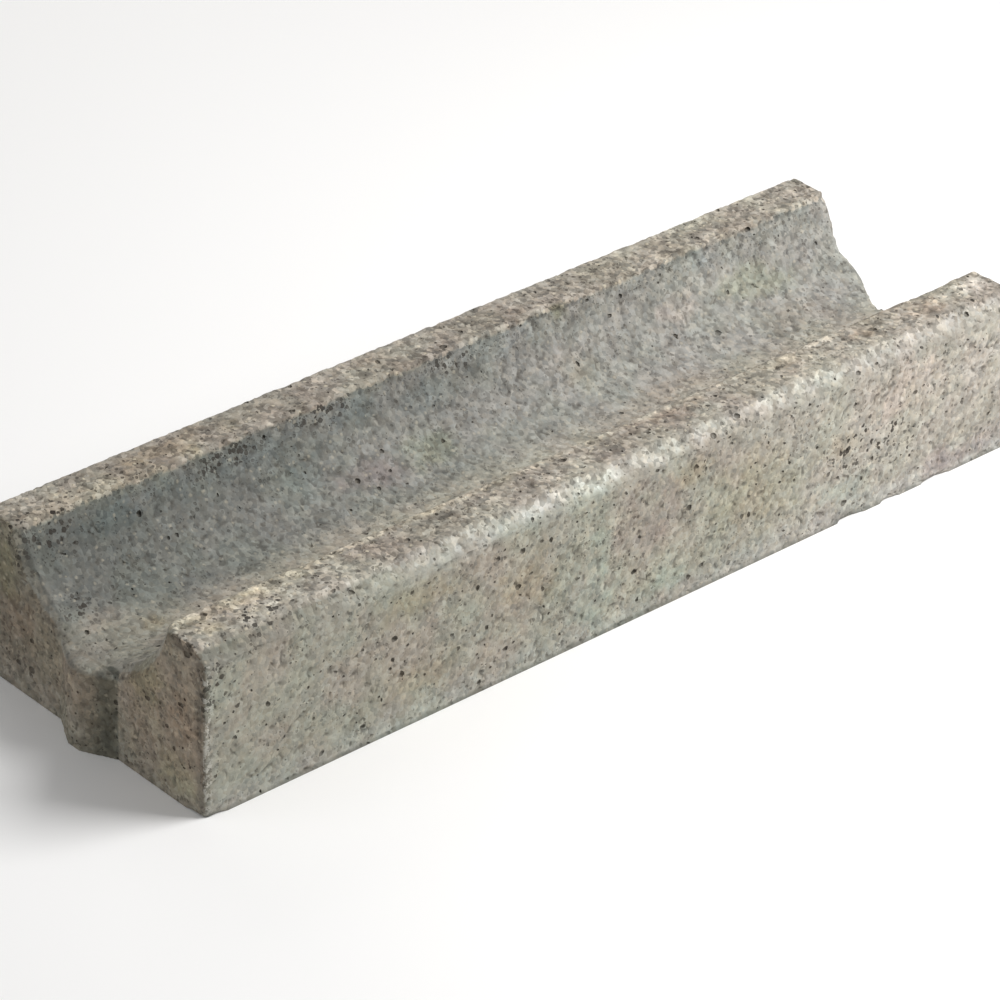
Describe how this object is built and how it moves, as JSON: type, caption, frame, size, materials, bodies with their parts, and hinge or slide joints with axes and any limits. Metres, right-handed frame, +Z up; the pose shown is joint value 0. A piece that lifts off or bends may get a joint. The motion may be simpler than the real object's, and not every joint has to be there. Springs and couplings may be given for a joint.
{
  "type": "concrete drainage channel",
  "caption": "Straight half-round drainage channel cast in concrete, with a tongue on one end and a matching groove in the other for laying in a run.",
  "frame": {"origin": "on the bed, under the middle of the overall length, tongue included", "axes": "+X across the channel, +Y along it towards the groove end, +Z up out of the trough"},
  "size_m": [0.32, 1.017, 0.17],
  "materials": {
    "concrete": "matte"
  },
  "bodies": {
    "root": {"channel": "concrete"}
  },
  "joints": []
}
